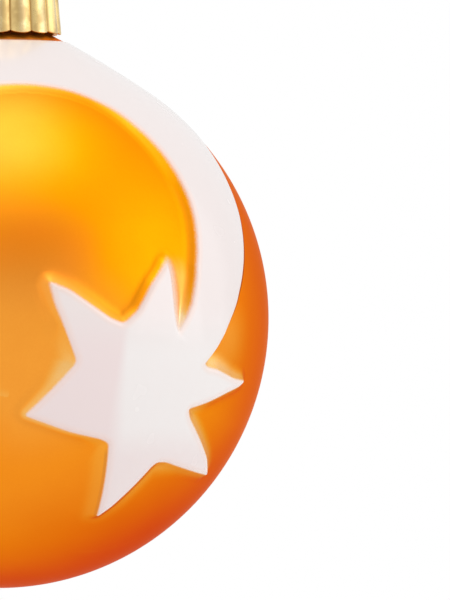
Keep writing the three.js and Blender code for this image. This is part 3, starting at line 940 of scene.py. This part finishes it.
def sprayed_over(colour, edge, white):
    """The lacquer's colour, pooling or thinned over its undercoat, darkened by painted shade or
    lightened by a painted highlight beside the edge, as it goes over into the white.
    """
    colour = tint(edge["Pooled"] * POOL_AND_SHADE_SHARE, colour, POOL_AND_SHADE_AMBER)
    share = tint(1.0, colour, UNDERCOAT, "DIVIDE")
    share = put(edge.tree, "ShaderNodeGamma", Color=share, Gamma=1.0 - edge["Thin"] * THINNEST)
    colour = tint(1.0, share, UNDERCOAT, "MULTIPLY")
    return tint(edge["Enamel"], colour, white)


def metal_under(edge):
    """How metallic the silvered glass looks: all over, but not where the white covers it."""
    bare = 1.0 - edge["Enamel"]
    return bare * bare * SILVERED


edge, grain = use(tree, sprayed_edge_and_light), use(tree, fine_grain)
# Painted highlights, a painted dark reflection and painted shade laid over the amber, then a
# darker fine grain.
colour = tint(patches["painted_shading"], AMBER, YELLOW_HIGHLIGHT_AMBER)
for share, layer in (  # how much of each colour is laid over the ones before
    (patches["dark_reflection"] * 0.8, DARK_REFLECTION_AMBER),
    (pale_highlight * 0.5, PALE_HIGHLIGHT_AMBER),
    (patches["tail_side_highlight"] * 0.8, PALE_HIGHLIGHT_AMBER),
    (wedge_highlight, PALE_HIGHLIGHT_AMBER),
    (low_right_shade, SHADE_AND_GRAIN_AMBER),
    (between(grain["Height"], 0.55, 0.95) * 0.05, SHADE_AND_GRAIN_AMBER),
):
    colour = tint(share, colour, layer)
colour = sprayed_over(colour, edge, EDGE_WHITE)
rough = grain["Mottle"] * 0.06 + 0.35 - edge["Enamel"] * 0.15
finish_surface(
    lacquer, colour, rough, metal_under(edge), grain["Height"], strength=0.16, depth=0.04
)
lacquer.inputs["Specular IOR Level"].default_value = 0.10
lacquer.inputs["Specular Tint"].default_value = (0.78, 0.25, 0.11, 1)
print("the lacquer is a metal with a tinted edge")

# %% [markdown]
# ## White enamel
#
# The star and its tail are thick opaque enamel with a soft gloss. It could be a plain white
# plastic, but the real thing has a slight pull in its surface from drying, and small changes of
# gloss. Its edge uses the same sprayed fade as the lacquer. Its colour holds painted light: a
# pinker painted shade on the left part of the star up to a wandering border like the edge of a
# reflection, lit white to the right, more painted shade at the top of the tail and low down, a
# painted warm glow just inside the edge, and pink painted shade on the shaded bevels.

# %% Enamel
LIT_WHITE = (0.912, 0.862, 0.846, 1)
SHADED_WHITE = (0.872, 0.735, 0.726, 1)
WARM_GLOW = (0.960, 0.620, 0.480, 1)
TOP_SHADE_WHITE = (0.872, 0.776, 0.757, 1)
BEVEL_SHADE_PINK = (0.800, 0.610, 0.570, 1)
LIT_BORDER_WANDER = 0.002  # metres from side to side by which the border of the lit white, a painted reflection edge, wanders
LIT_BORDER_LEAN = -0.15  # how far that border leans over with height
LIT_FROM, LIT_TO = 0.0270, 0.0302  # metres to the right where the painted shade turns to lit white, and is all lit
LIT_SOONER = 0.0018  # metres less that the turn takes from the height of the ball's middle up
LEVEL, HIGH, LOW = (-0.018, 0.0), (-0.006, 0.003), (-0.015, -0.021)  # metres above the middle

enamel, tree, glaze = new_material("white enamel")
edge = use(tree, sprayed_edge_and_light)
grain = use(tree, fine_grain, Fine_Scale=1500.0, Broad_Scale=170.0)
place = here(tree)
parts = put(tree, "ShaderNodeSeparateXYZ", Vector=place)
# A pinker painted shade on the left part of the star and lit white on the right, with a wandering
# border like the edge of a reflection.
wander = (noise(tree, 60.0, 1.0, place) - 0.5) * LIT_BORDER_WANDER
lean = parts["Z"] * LIT_BORDER_LEAN + parts["X"] + wander
rise = parts["Z"] - MIDDLE_HEIGHT
full = between(lean, LIT_FROM, LIT_TO - between(rise, *LEVEL) * LIT_SOONER)
white = tint(full, SHADED_WHITE, LIT_WHITE)
for share, layer in (  # how much of each colour is laid over the ones before
    # painted shade at the top of the tail, and low down below
    (between(rise, *HIGH), TOP_SHADE_WHITE),
    (between(rise, *LOW) * 0.7, SHADED_WHITE),
    # painted warm glow just inside the edge
    (edge["Blush"] * 0.38, WARM_GLOW),
    # pink painted shade on the bevels beside the shaded edges
    (edge["Pooled"] * edge["Blush"] * 7.0, BEVEL_SHADE_PINK),
):
    white = tint(share, white, layer)
colour = sprayed_over(AMBER, edge, white)
rough = (1.0 - edge["Enamel"]) * 0.12 + (grain["Mottle"] * 0.08 + 0.22)
finish_surface(
    glaze, colour, rough, metal_under(edge), grain["Height"], strength=0.10, depth=0.05
)
feed(glaze, {"Coat Weight": between(edge["Enamel"], 0.5, 1.0) * 0.9})
glaze.inputs["Coat Roughness"].default_value = 0.12
glaze.inputs["Coat IOR"].default_value = 1.6
print("the enamel has a clear gloss over it")

# %% Glass ball
COVERED_BY = 0.8  # mm inside the enamel's edge where the glass is back to the plain ball
PLAIN_GLASS = -9  # the distance in mm that the neck and the inside of the glass count as

on = skin_outside
glass_points = skin_points.copy()
reach = glass_radius(skin_directions) + relief * (1 - ease(inside_enamel, 0.0, COVERED_BY))
glass_points[on] = skin_directions[on] * reach[on, None]
glass_ball = make_piece(
    "blown_glass_ball", glass_points + BALL_MIDDLE, skin_faces, amber, "ball",
    "glass_ball",
)  # fmt: skip
remember(
    glass_ball.data,
    edge_distance=np.where(on, edge_distance, PLAIN_GLASS),
    edge_softness=edge_softness,
    lacquer_spared=np.where(on, lacquer_spared, 0),
)

# %% Star and tail
ENAMEL_FOOT = 0.35  # mm that the enamel goes on beyond its edge, down into the lacquer
FOOT_SLOPE, FOOT_REACH = 0.5, 1.5  # how steeply it dips, and for how many mm at most
ENAMEL_CLEAR = 0.004  # mm that the enamel lies above the lacquer where they meet


def in_enamel(face):
    return all(on[i] for i in face) and max(inside_enamel[i] for i in face) > -ENAMEL_FOOT


used = [face for face in skin_faces if in_enamel(face)]
kept = sorted({i for face in used for i in face})
new_index = {old: new for new, old in enumerate(kept)}
kept = np.array(kept)
foot = np.clip(-inside_enamel[kept], 0, FOOT_REACH) * FOOT_SLOPE
reach = glass_radius(skin_directions[kept]) + relief[kept] + ENAMEL_CLEAR - foot
star_and_tail = make_piece(
    "raised_star_and_tail", skin_directions[kept] * reach[:, None] + BALL_MIDDLE,
    [[new_index[i] for i in face] for face in used], enamel, "ball",
    "star_and_tail",
)  # fmt: skip
remember(
    star_and_tail.data,
    edge_distance=edge_distance[kept],
    edge_softness=edge_softness[kept],
    lacquer_spared=lacquer_spared[kept],
)

# %% [markdown]
# ## How metal is handled
#
# The cap and the wire are touched every year and then lie in a box. Fingers leave a dull film with
# finer spots in it, and the sheet and the wire both keep fine lines from the tools that drew them.
# Those two effects are shared by both metals, so they are groups. Each metal says where it lies by
# a point of its own: lines run along the third axis of that point, and so they follow the wire
# round its bends.

# %% Dull film
CLOUDED, SPOTTED = (0.40, 0.68), (0.56, 0.70)  # levels of the noise: clean, and dull
SPOT_SHARE = 0.6

dull_film, given, result = new_group(
    "Dull film", {"Cloud Scale": 300.0, "Spot Scale": 2200.0, "Amount": 0.5}, ("Film",)
)
film = between(noise(dull_film, given["Cloud Scale"], 4.0), *CLOUDED)
spots = between(noise(dull_film, given["Spot Scale"], 2.0), *SPOTTED) * SPOT_SHARE
feed(result, {"Film": larger(film, spots) * given["Amount"]})

# %% Drawn lines
drawn_lines, given, result = new_group(
    "Drawn lines", {"Line Scale": 5000.0, "Stretch": 0.04}, ("Height", "Streak")
)
place = remembered(drawn_lines, "drawn_place", "Vector")
along = put(drawn_lines, "ShaderNodeSeparateXYZ", Vector=place)
slow = along["Z"] * given["Stretch"]
drawn = put(drawn_lines, "ShaderNodeCombineXYZ", X=along["X"], Y=along["Y"], Z=slow)
lines = noise(drawn_lines, given["Line Scale"], 3.0, drawn)
feed(result, {"Height": lines, "Streak": between(lines, 0.35, 0.65)})

# %% [markdown]
# ## Pressed brass
#
# The cap is pressed from thin bright sheet. A plain gold colour would look like plastic. Pressed
# sheet is bright where the flutes stand out and fingers rub them, and browner in the creases, with
# fine upright lines from the press. The mesh tells the finish how deep in a crease each point is.

# %% Brass
BRIGHT_BRASS = (0.860, 0.640, 0.270, 1)
WORN_BRASS = (0.900, 0.720, 0.400, 1)
BROWN_BRASS = (0.430, 0.260, 0.090, 1)
RUBBED, DIRTY = (0.16, 0.0), (0.45, 1.0)  # how deep in a crease, from 0 to 1: not at all, and full

brass, tree, metal = new_material("pressed brass")
film = use(tree, dull_film, Cloud_Scale=420.0, Amount=0.55)
lines = use(tree, drawn_lines, Line_Scale=3800.0, Stretch=0.03)
crease = remembered(tree, "crease")
colour = tint(between(crease, *RUBBED) * 0.7, BRIGHT_BRASS, WORN_BRASS)
browned = larger(between(crease, *DIRTY) * 0.7, film)
colour = tint(browned, colour, BROWN_BRASS)
rough = lines["Streak"] * 0.06 + (browned * 0.28 + 0.20)
finish_surface(metal, colour, rough, 1.0, lines["Height"], strength=0.25, depth=0.03)

# %% [markdown]
# ## Drawn spring wire
#
# The hanger is hard drawn wire. Its lines run along it, round every bend, and a thin straw-brown
# film from the coil it came off lies on it in patches.

# %% Wire metal
BRIGHT_WIRE = (0.640, 0.625, 0.600, 1)
DULL_WIRE = (0.330, 0.290, 0.240, 1)

spring_wire, tree, metal = new_material("drawn spring wire")
film = use(tree, dull_film, Cloud_Scale=520.0, Spot_Scale=3200.0, Amount=0.6)
lines = use(tree, drawn_lines, Line_Scale=6500.0, Stretch=0.03)
colour = tint(larger(film, lines["Streak"] * 0.22), BRIGHT_WIRE, DULL_WIRE)
rough = film * 0.25 + 0.22
finish_surface(metal, colour, rough, 1.0, lines["Height"], strength=0.3, depth=0.02)

# %% [markdown]
# ## The cap in section
#
# The cap is one sheet, so its section is a line down the outside and a line back up the inside, a
# sheet's thickness away. The skirt flares a little and is pressed into sixteen lobes with narrow
# creases between them, and a shallow ring is pressed into the top to stiffen it. A lathe profile
# gives the section, and each point is then moved out or in by the flutes.

# %% The cap's section
CAP_TOP, SHEET = -11.0, 0.4
CAP_RADIUS, CAP_FLARE, CORNER = 8.25, 0.7, 0.9
RING_RADIUS, RING_WIDTH, RING_DEPTH = 5.9, 0.45, 0.14
CAP_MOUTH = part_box("cap")[0].z / MM
CAP_SHOULDER = CAP_TOP - CORNER


def in_ring(from_axis):
    """1 in the middle of the ring pressed into the top, and less to both sides of it."""
    return np.exp(-(((from_axis - RING_RADIUS) / RING_WIDTH) ** 2) * 2)


def skirt_radius(height):
    return CAP_RADIUS + CAP_FLARE * (CAP_SHOULDER - height) / (CAP_SHOULDER - CAP_MOUTH)


def cap_section():
    """Points (from the axis, height) from the middle of the top, round the mouth, to the middle
    of the underside."""
    flat, half = CAP_RADIUS - CORNER, SHEET / 2
    mouth = skirt_radius(CAP_MOUTH) - half

    def corner(radius, angles):
        return [(flat + radius * math.sin(a), CAP_SHOULDER + radius * math.cos(a)) for a in angles]

    top = [(r, CAP_TOP - RING_DEPTH * in_ring(r)) for r in np.linspace(0.4, flat, 40)]
    bend = corner(CORNER, np.linspace(0, math.pi / 2, 9)[1:])
    down = [(skirt_radius(z), z) for z in np.linspace(CAP_SHOULDER, CAP_MOUTH + half, 22)[1:]]
    lip = [
        (mouth + half * math.cos(a), CAP_MOUTH + half - half * math.sin(a))
        for a in np.linspace(0, math.pi, 9)[1:-1]
    ]
    up = [(r - SHEET, z) for r, z in reversed(down)]
    back = corner(CORNER - SHEET, np.linspace(math.pi / 2, 0, 6))
    under = [(r, z - SHEET) for r, z in reversed(top[:-1])]
    return top + bend + down + lip + up + back + under


section = cap_section()
print("the cap's section has", len(section), "points, mouth at height", round(CAP_MOUTH, 2))

# %% Turn the cap and press its flutes
FLUTES, FLUTE_DEPTH = 16, 0.3
FLUTE_START = 0.2  # mm above the shoulder where the flutes begin
FLUTE_RUN = 2.2  # mm down from there to their full depth
CREASED = 0.75  # below 1 the lobes are full and the creases between them narrow
SCALLOP = 0.35  # how far the mouth's edge rises between the lobes
SCALLOP_RUN = 1.2  # mm above the mouth in which it rises
CAP_COLUMNS = FLUTES * 14


def down_the_flutes(z):
    """0 at the start of the flutes and above it, 1 where they have their full depth."""
    return np.clip((CAP_SHOULDER + FLUTE_START - z) / FLUTE_RUN, 0, 1)


def on_a_lobe(x, y):
    """1 on the middle of a lobe, 0 in the crease between two."""
    return np.abs(np.cos(FLUTES / 2 * np.arctan2(y, x))) ** CREASED


cap_mesh = turn(list(reversed(section)), CAP_COLUMNS, low_end=CAP_TOP - SHEET, high_end=CAP_TOP)
bmesh.ops.recalc_face_normals(cap_mesh, faces=cap_mesh.faces)
for vert in cap_mesh.verts:
    x, y, z = vert.co
    radius = math.hypot(x, y)
    if radius > CAP_RADIUS - CORNER:
        down = down_the_flutes(z)
        lobe = 2 * on_a_lobe(x, y) - 1
        outward = FLUTE_DEPTH * down * down * (3 - 2 * down) * lobe / radius
        low = np.clip((CAP_MOUTH + SCALLOP_RUN - z) / SCALLOP_RUN, 0, 1)
        vert.co = (x * (1 + outward), y * (1 + outward), z + SCALLOP * low * (1 - lobe) / 2)
cap_data = bpy.data.meshes.new("pressed cap")
cap_mesh.to_mesh(cap_data)
cap_mesh.free()
print("the pressed cap has", len(cap_data.vertices), "points")

# %% [markdown]
# ## The slots in the cap
#
# Two slots let the wire's legs through, and let them swing as the hanger is drawn out. The press
# punches them after the cap is shaped, and a boolean cut does the same here.

# %% Cut the slots
SLOT_HALF = 0.8  # half of a slot's width
SLOT_NEAR, SLOT_FAR = 1.5, 3.66  # from the axis to the middles of its round ends


def slot_cutter(side):
    """A block with round ends, as long as a slot, that goes through the top of the cap."""
    cutter = bmesh.new()
    outline = []
    for centre, start in ((SLOT_FAR, -math.pi / 2), (SLOT_NEAR, math.pi / 2)):
        for a in np.linspace(start, start + math.pi, 13):
            outline.append((side * (centre + SLOT_HALF * math.cos(a)), SLOT_HALF * math.sin(a)))
    rings = [[cutter.verts.new((x, y, z)) for x, y in outline] for z in (CAP_TOP - 2, CAP_TOP + 1)]
    for i in range(len(outline)):
        j = (i + 1) % len(outline)
        cutter.faces.new((rings[0][i], rings[0][j], rings[1][j], rings[1][i]))
    cutter.faces.new(reversed(rings[0]))
    cutter.faces.new(rings[1])
    bmesh.ops.recalc_face_normals(cutter, faces=cutter.faces)
    data = bpy.data.meshes.new("slot cutter")
    cutter.to_mesh(data)
    cutter.free()
    return bpy.data.objects.new("slot cutter", data)


blank = bpy.data.objects.new("pressed cap", cap_data)
bpy.context.scene.collection.objects.link(blank)
cutters = [slot_cutter(side) for side in (1, -1)]
for cutter in cutters:
    bpy.context.scene.collection.objects.link(cutter)
    cut = blank.modifiers.new("slot", "BOOLEAN")
    cut.operation, cut.object, cut.solver = "DIFFERENCE", cutter, "EXACT"
bpy.context.view_layer.update()
cut_blank = blank.evaluated_get(bpy.context.evaluated_depsgraph_get())
cut_cap = bpy.data.meshes.new_from_object(cut_blank)
for made in [blank, *cutters]:
    bpy.data.objects.remove(made)
print("with its slots the cap has", len(cut_cap.vertices), "points")

# %% The cap
SHARP_FROM = 38  # degrees
PLAIN_CREASE = 0.3  # what plain sheet counts as, from 0 on a lobe to 1 deep in a crease
RING_CREASE = 0.5  # and how much deeper the pressed ring is

cap_points = np.array([v.co[:] for v in cut_cap.vertices])
cap_faces = [list(f.vertices) for f in cut_cap.polygons]
pressed_cap = make_piece(
    "pressed_cap", cap_points, cap_faces, brass, "cap", "cap"
)  # fmt: skip
remember_sharp_edges(pressed_cap.data, SHARP_FROM)
x, y, z = cap_points.T
in_top = PLAIN_CREASE + RING_CREASE * in_ring(np.hypot(x, y))
in_skirt = PLAIN_CREASE + (1 - PLAIN_CREASE - on_a_lobe(x, y)) * down_the_flutes(z)
remember(pressed_cap.data, crease=np.where(z > CAP_SHOULDER, in_top, in_skirt))
remember_drawn_place(pressed_cap.data, cap_points * MM)

# %% [markdown]
# ## The hanger wire
#
# One round wire makes the loop, the two feet on the cap and the two legs inside the neck. A curve
# object with a round bevel could make it too, but a sweep in plain code keeps the middle line
# exact and lets each point remember how far along the wire it is, for the drawn lines. Where a
# leg starts, both wires end in a ball at the same place, so the wire looks whole at any angle.

# %% Sweep a round wire
WIRE_RADIUS, WIRE_SIDES = 0.5, 28
END_RINGS, END_TIP = 6, 0.06  # rings in a rounded end, and where the smallest one lies on it


def swept_wire(line, radius):
    """A round wire along a line, with a rounded end at each end, as points, faces and places.
    The line runs in the plane of the loop, so the way across the wire is always known."""
    line = np.array(line, float)
    ahead = np.gradient(line, axis=0)
    ahead /= np.linalg.norm(ahead, axis=1, keepdims=True)
    across = np.array((0.0, 1.0, 0.0))
    run = np.concatenate(((0,), np.cumsum(np.linalg.norm(np.diff(line, axis=0), axis=1))))

    def rounded_end(i, outward, steps):
        start, way, along = line[i], ahead[i], run[i]
        out = outward * radius * way
        angles = steps * math.pi / 2
        return [(start + out * math.cos(a), way, radius * math.sin(a), along) for a in angles]

    rings = rounded_end(0, -1, np.linspace(END_TIP, 1, END_RINGS))
    rings += [(line[i], ahead[i], radius, run[i]) for i in range(1, len(line) - 1)]
    rings += rounded_end(-1, 1, np.linspace(1, END_TIP, END_RINGS))
    points, places, faces = [], [], []
    for middle, way, r, along in rings:
        side = np.cross(way, across)
        for k in range(WIRE_SIDES):
            a = 2 * math.pi * k / WIRE_SIDES
            points.append(middle + r * (math.cos(a) * side + math.sin(a) * across))
            places.append((radius * math.cos(a), radius * math.sin(a), along))
    for i in range(len(rings) - 1):
        for k in range(WIRE_SIDES):
            a, b = i * WIRE_SIDES + k, i * WIRE_SIDES + (k + 1) % WIRE_SIDES
            faces.append((a, a + WIRE_SIDES, b + WIRE_SIDES, b))
    last = len(points)
    points += [line[0] - ahead[0] * radius, line[-1] + ahead[-1] * radius]
    places += [(0, 0, 0), (0, 0, run[-1])]
    for k in range(WIRE_SIDES):
        after = (k + 1) % WIRE_SIDES
        faces.append((last, k, after))
        faces.append((last + 1, last - WIRE_SIDES + after, last - WIRE_SIDES + k))
    return np.array(points), faces, np.array(places) * MM


# %% The loop's middle line
LEG_SPACING, PIVOT_HEIGHT = 3.0, -12.0
LOOP_SIDE, FOOT_BEND, LEG_BEND = 5.6, 1.5, 0.8
CAP_GAP = 0.3  # the hanger's feet run this far above the cap
FOOT_HEIGHT = CAP_TOP + CAP_GAP + WIRE_RADIUS
ARCH_HEIGHT = WIRE_RADIUS - LOOP_SIDE


def arc(centre, radius, start, end, steps):
    x, z = centre
    angles = np.radians(np.linspace(start, end, steps))
    return [(x + radius * math.cos(a), 0, z + radius * math.sin(a)) for a in angles]


leg_x = LEG_SPACING / 2
upright = [(-leg_x, 0, z) for z in np.linspace(PIVOT_HEIGHT, FOOT_HEIGHT - LEG_BEND, 6)[:-1]]
out = arc((-leg_x - LEG_BEND, FOOT_HEIGHT - LEG_BEND), LEG_BEND, 0, 90, 10)
up = arc((-LOOP_SIDE + FOOT_BEND, FOOT_HEIGHT + FOOT_BEND), FOOT_BEND, -90, -180, 14)
rise = [(-LOOP_SIDE, 0, z) for z in np.linspace(FOOT_HEIGHT + FOOT_BEND, ARCH_HEIGHT, 8)[1:-1]]
over = arc((0, ARCH_HEIGHT), LOOP_SIDE, 180, 90, 26)
half = upright + out + up + rise + over
loop_line = half + [(-x, y, z) for x, y, z in reversed(half[:-1])]
print("the loop's wire is", len(loop_line), "points long")

# %% The loop and the two legs
LEG_LENGTH, LEG_SPLAY = 28.0, math.radians(16.433)
LEG_THINNER = 0.005  # so that the two round ends at the pivot don't lie in one surface

points, faces, places = swept_wire(loop_line, WIRE_RADIUS)
hanger_loop = make_piece(
    "hanger_loop", points, faces, spring_wire, "hanger", "wire_loop"
)
remember_drawn_place(hanger_loop.data, places)

for name, body, node, side in (
    ("spring_leg_left", "left_leg", "leg_left", -1),
    ("spring_leg_right", "right_leg", "leg_right", 1),
):
    top = np.array((side * leg_x, 0, PIVOT_HEIGHT))
    way = np.array((side * math.sin(LEG_SPLAY), 0, -math.cos(LEG_SPLAY)))
    leg_line = [top + way * s for s in np.linspace(0, LEG_LENGTH - WIRE_RADIUS, 40)]
    points, faces, places = swept_wire(leg_line, WIRE_RADIUS - LEG_THINNER)
    leg = make_piece(name, points, faces, spring_wire, body, node)
    remember_drawn_place(leg.data, places)
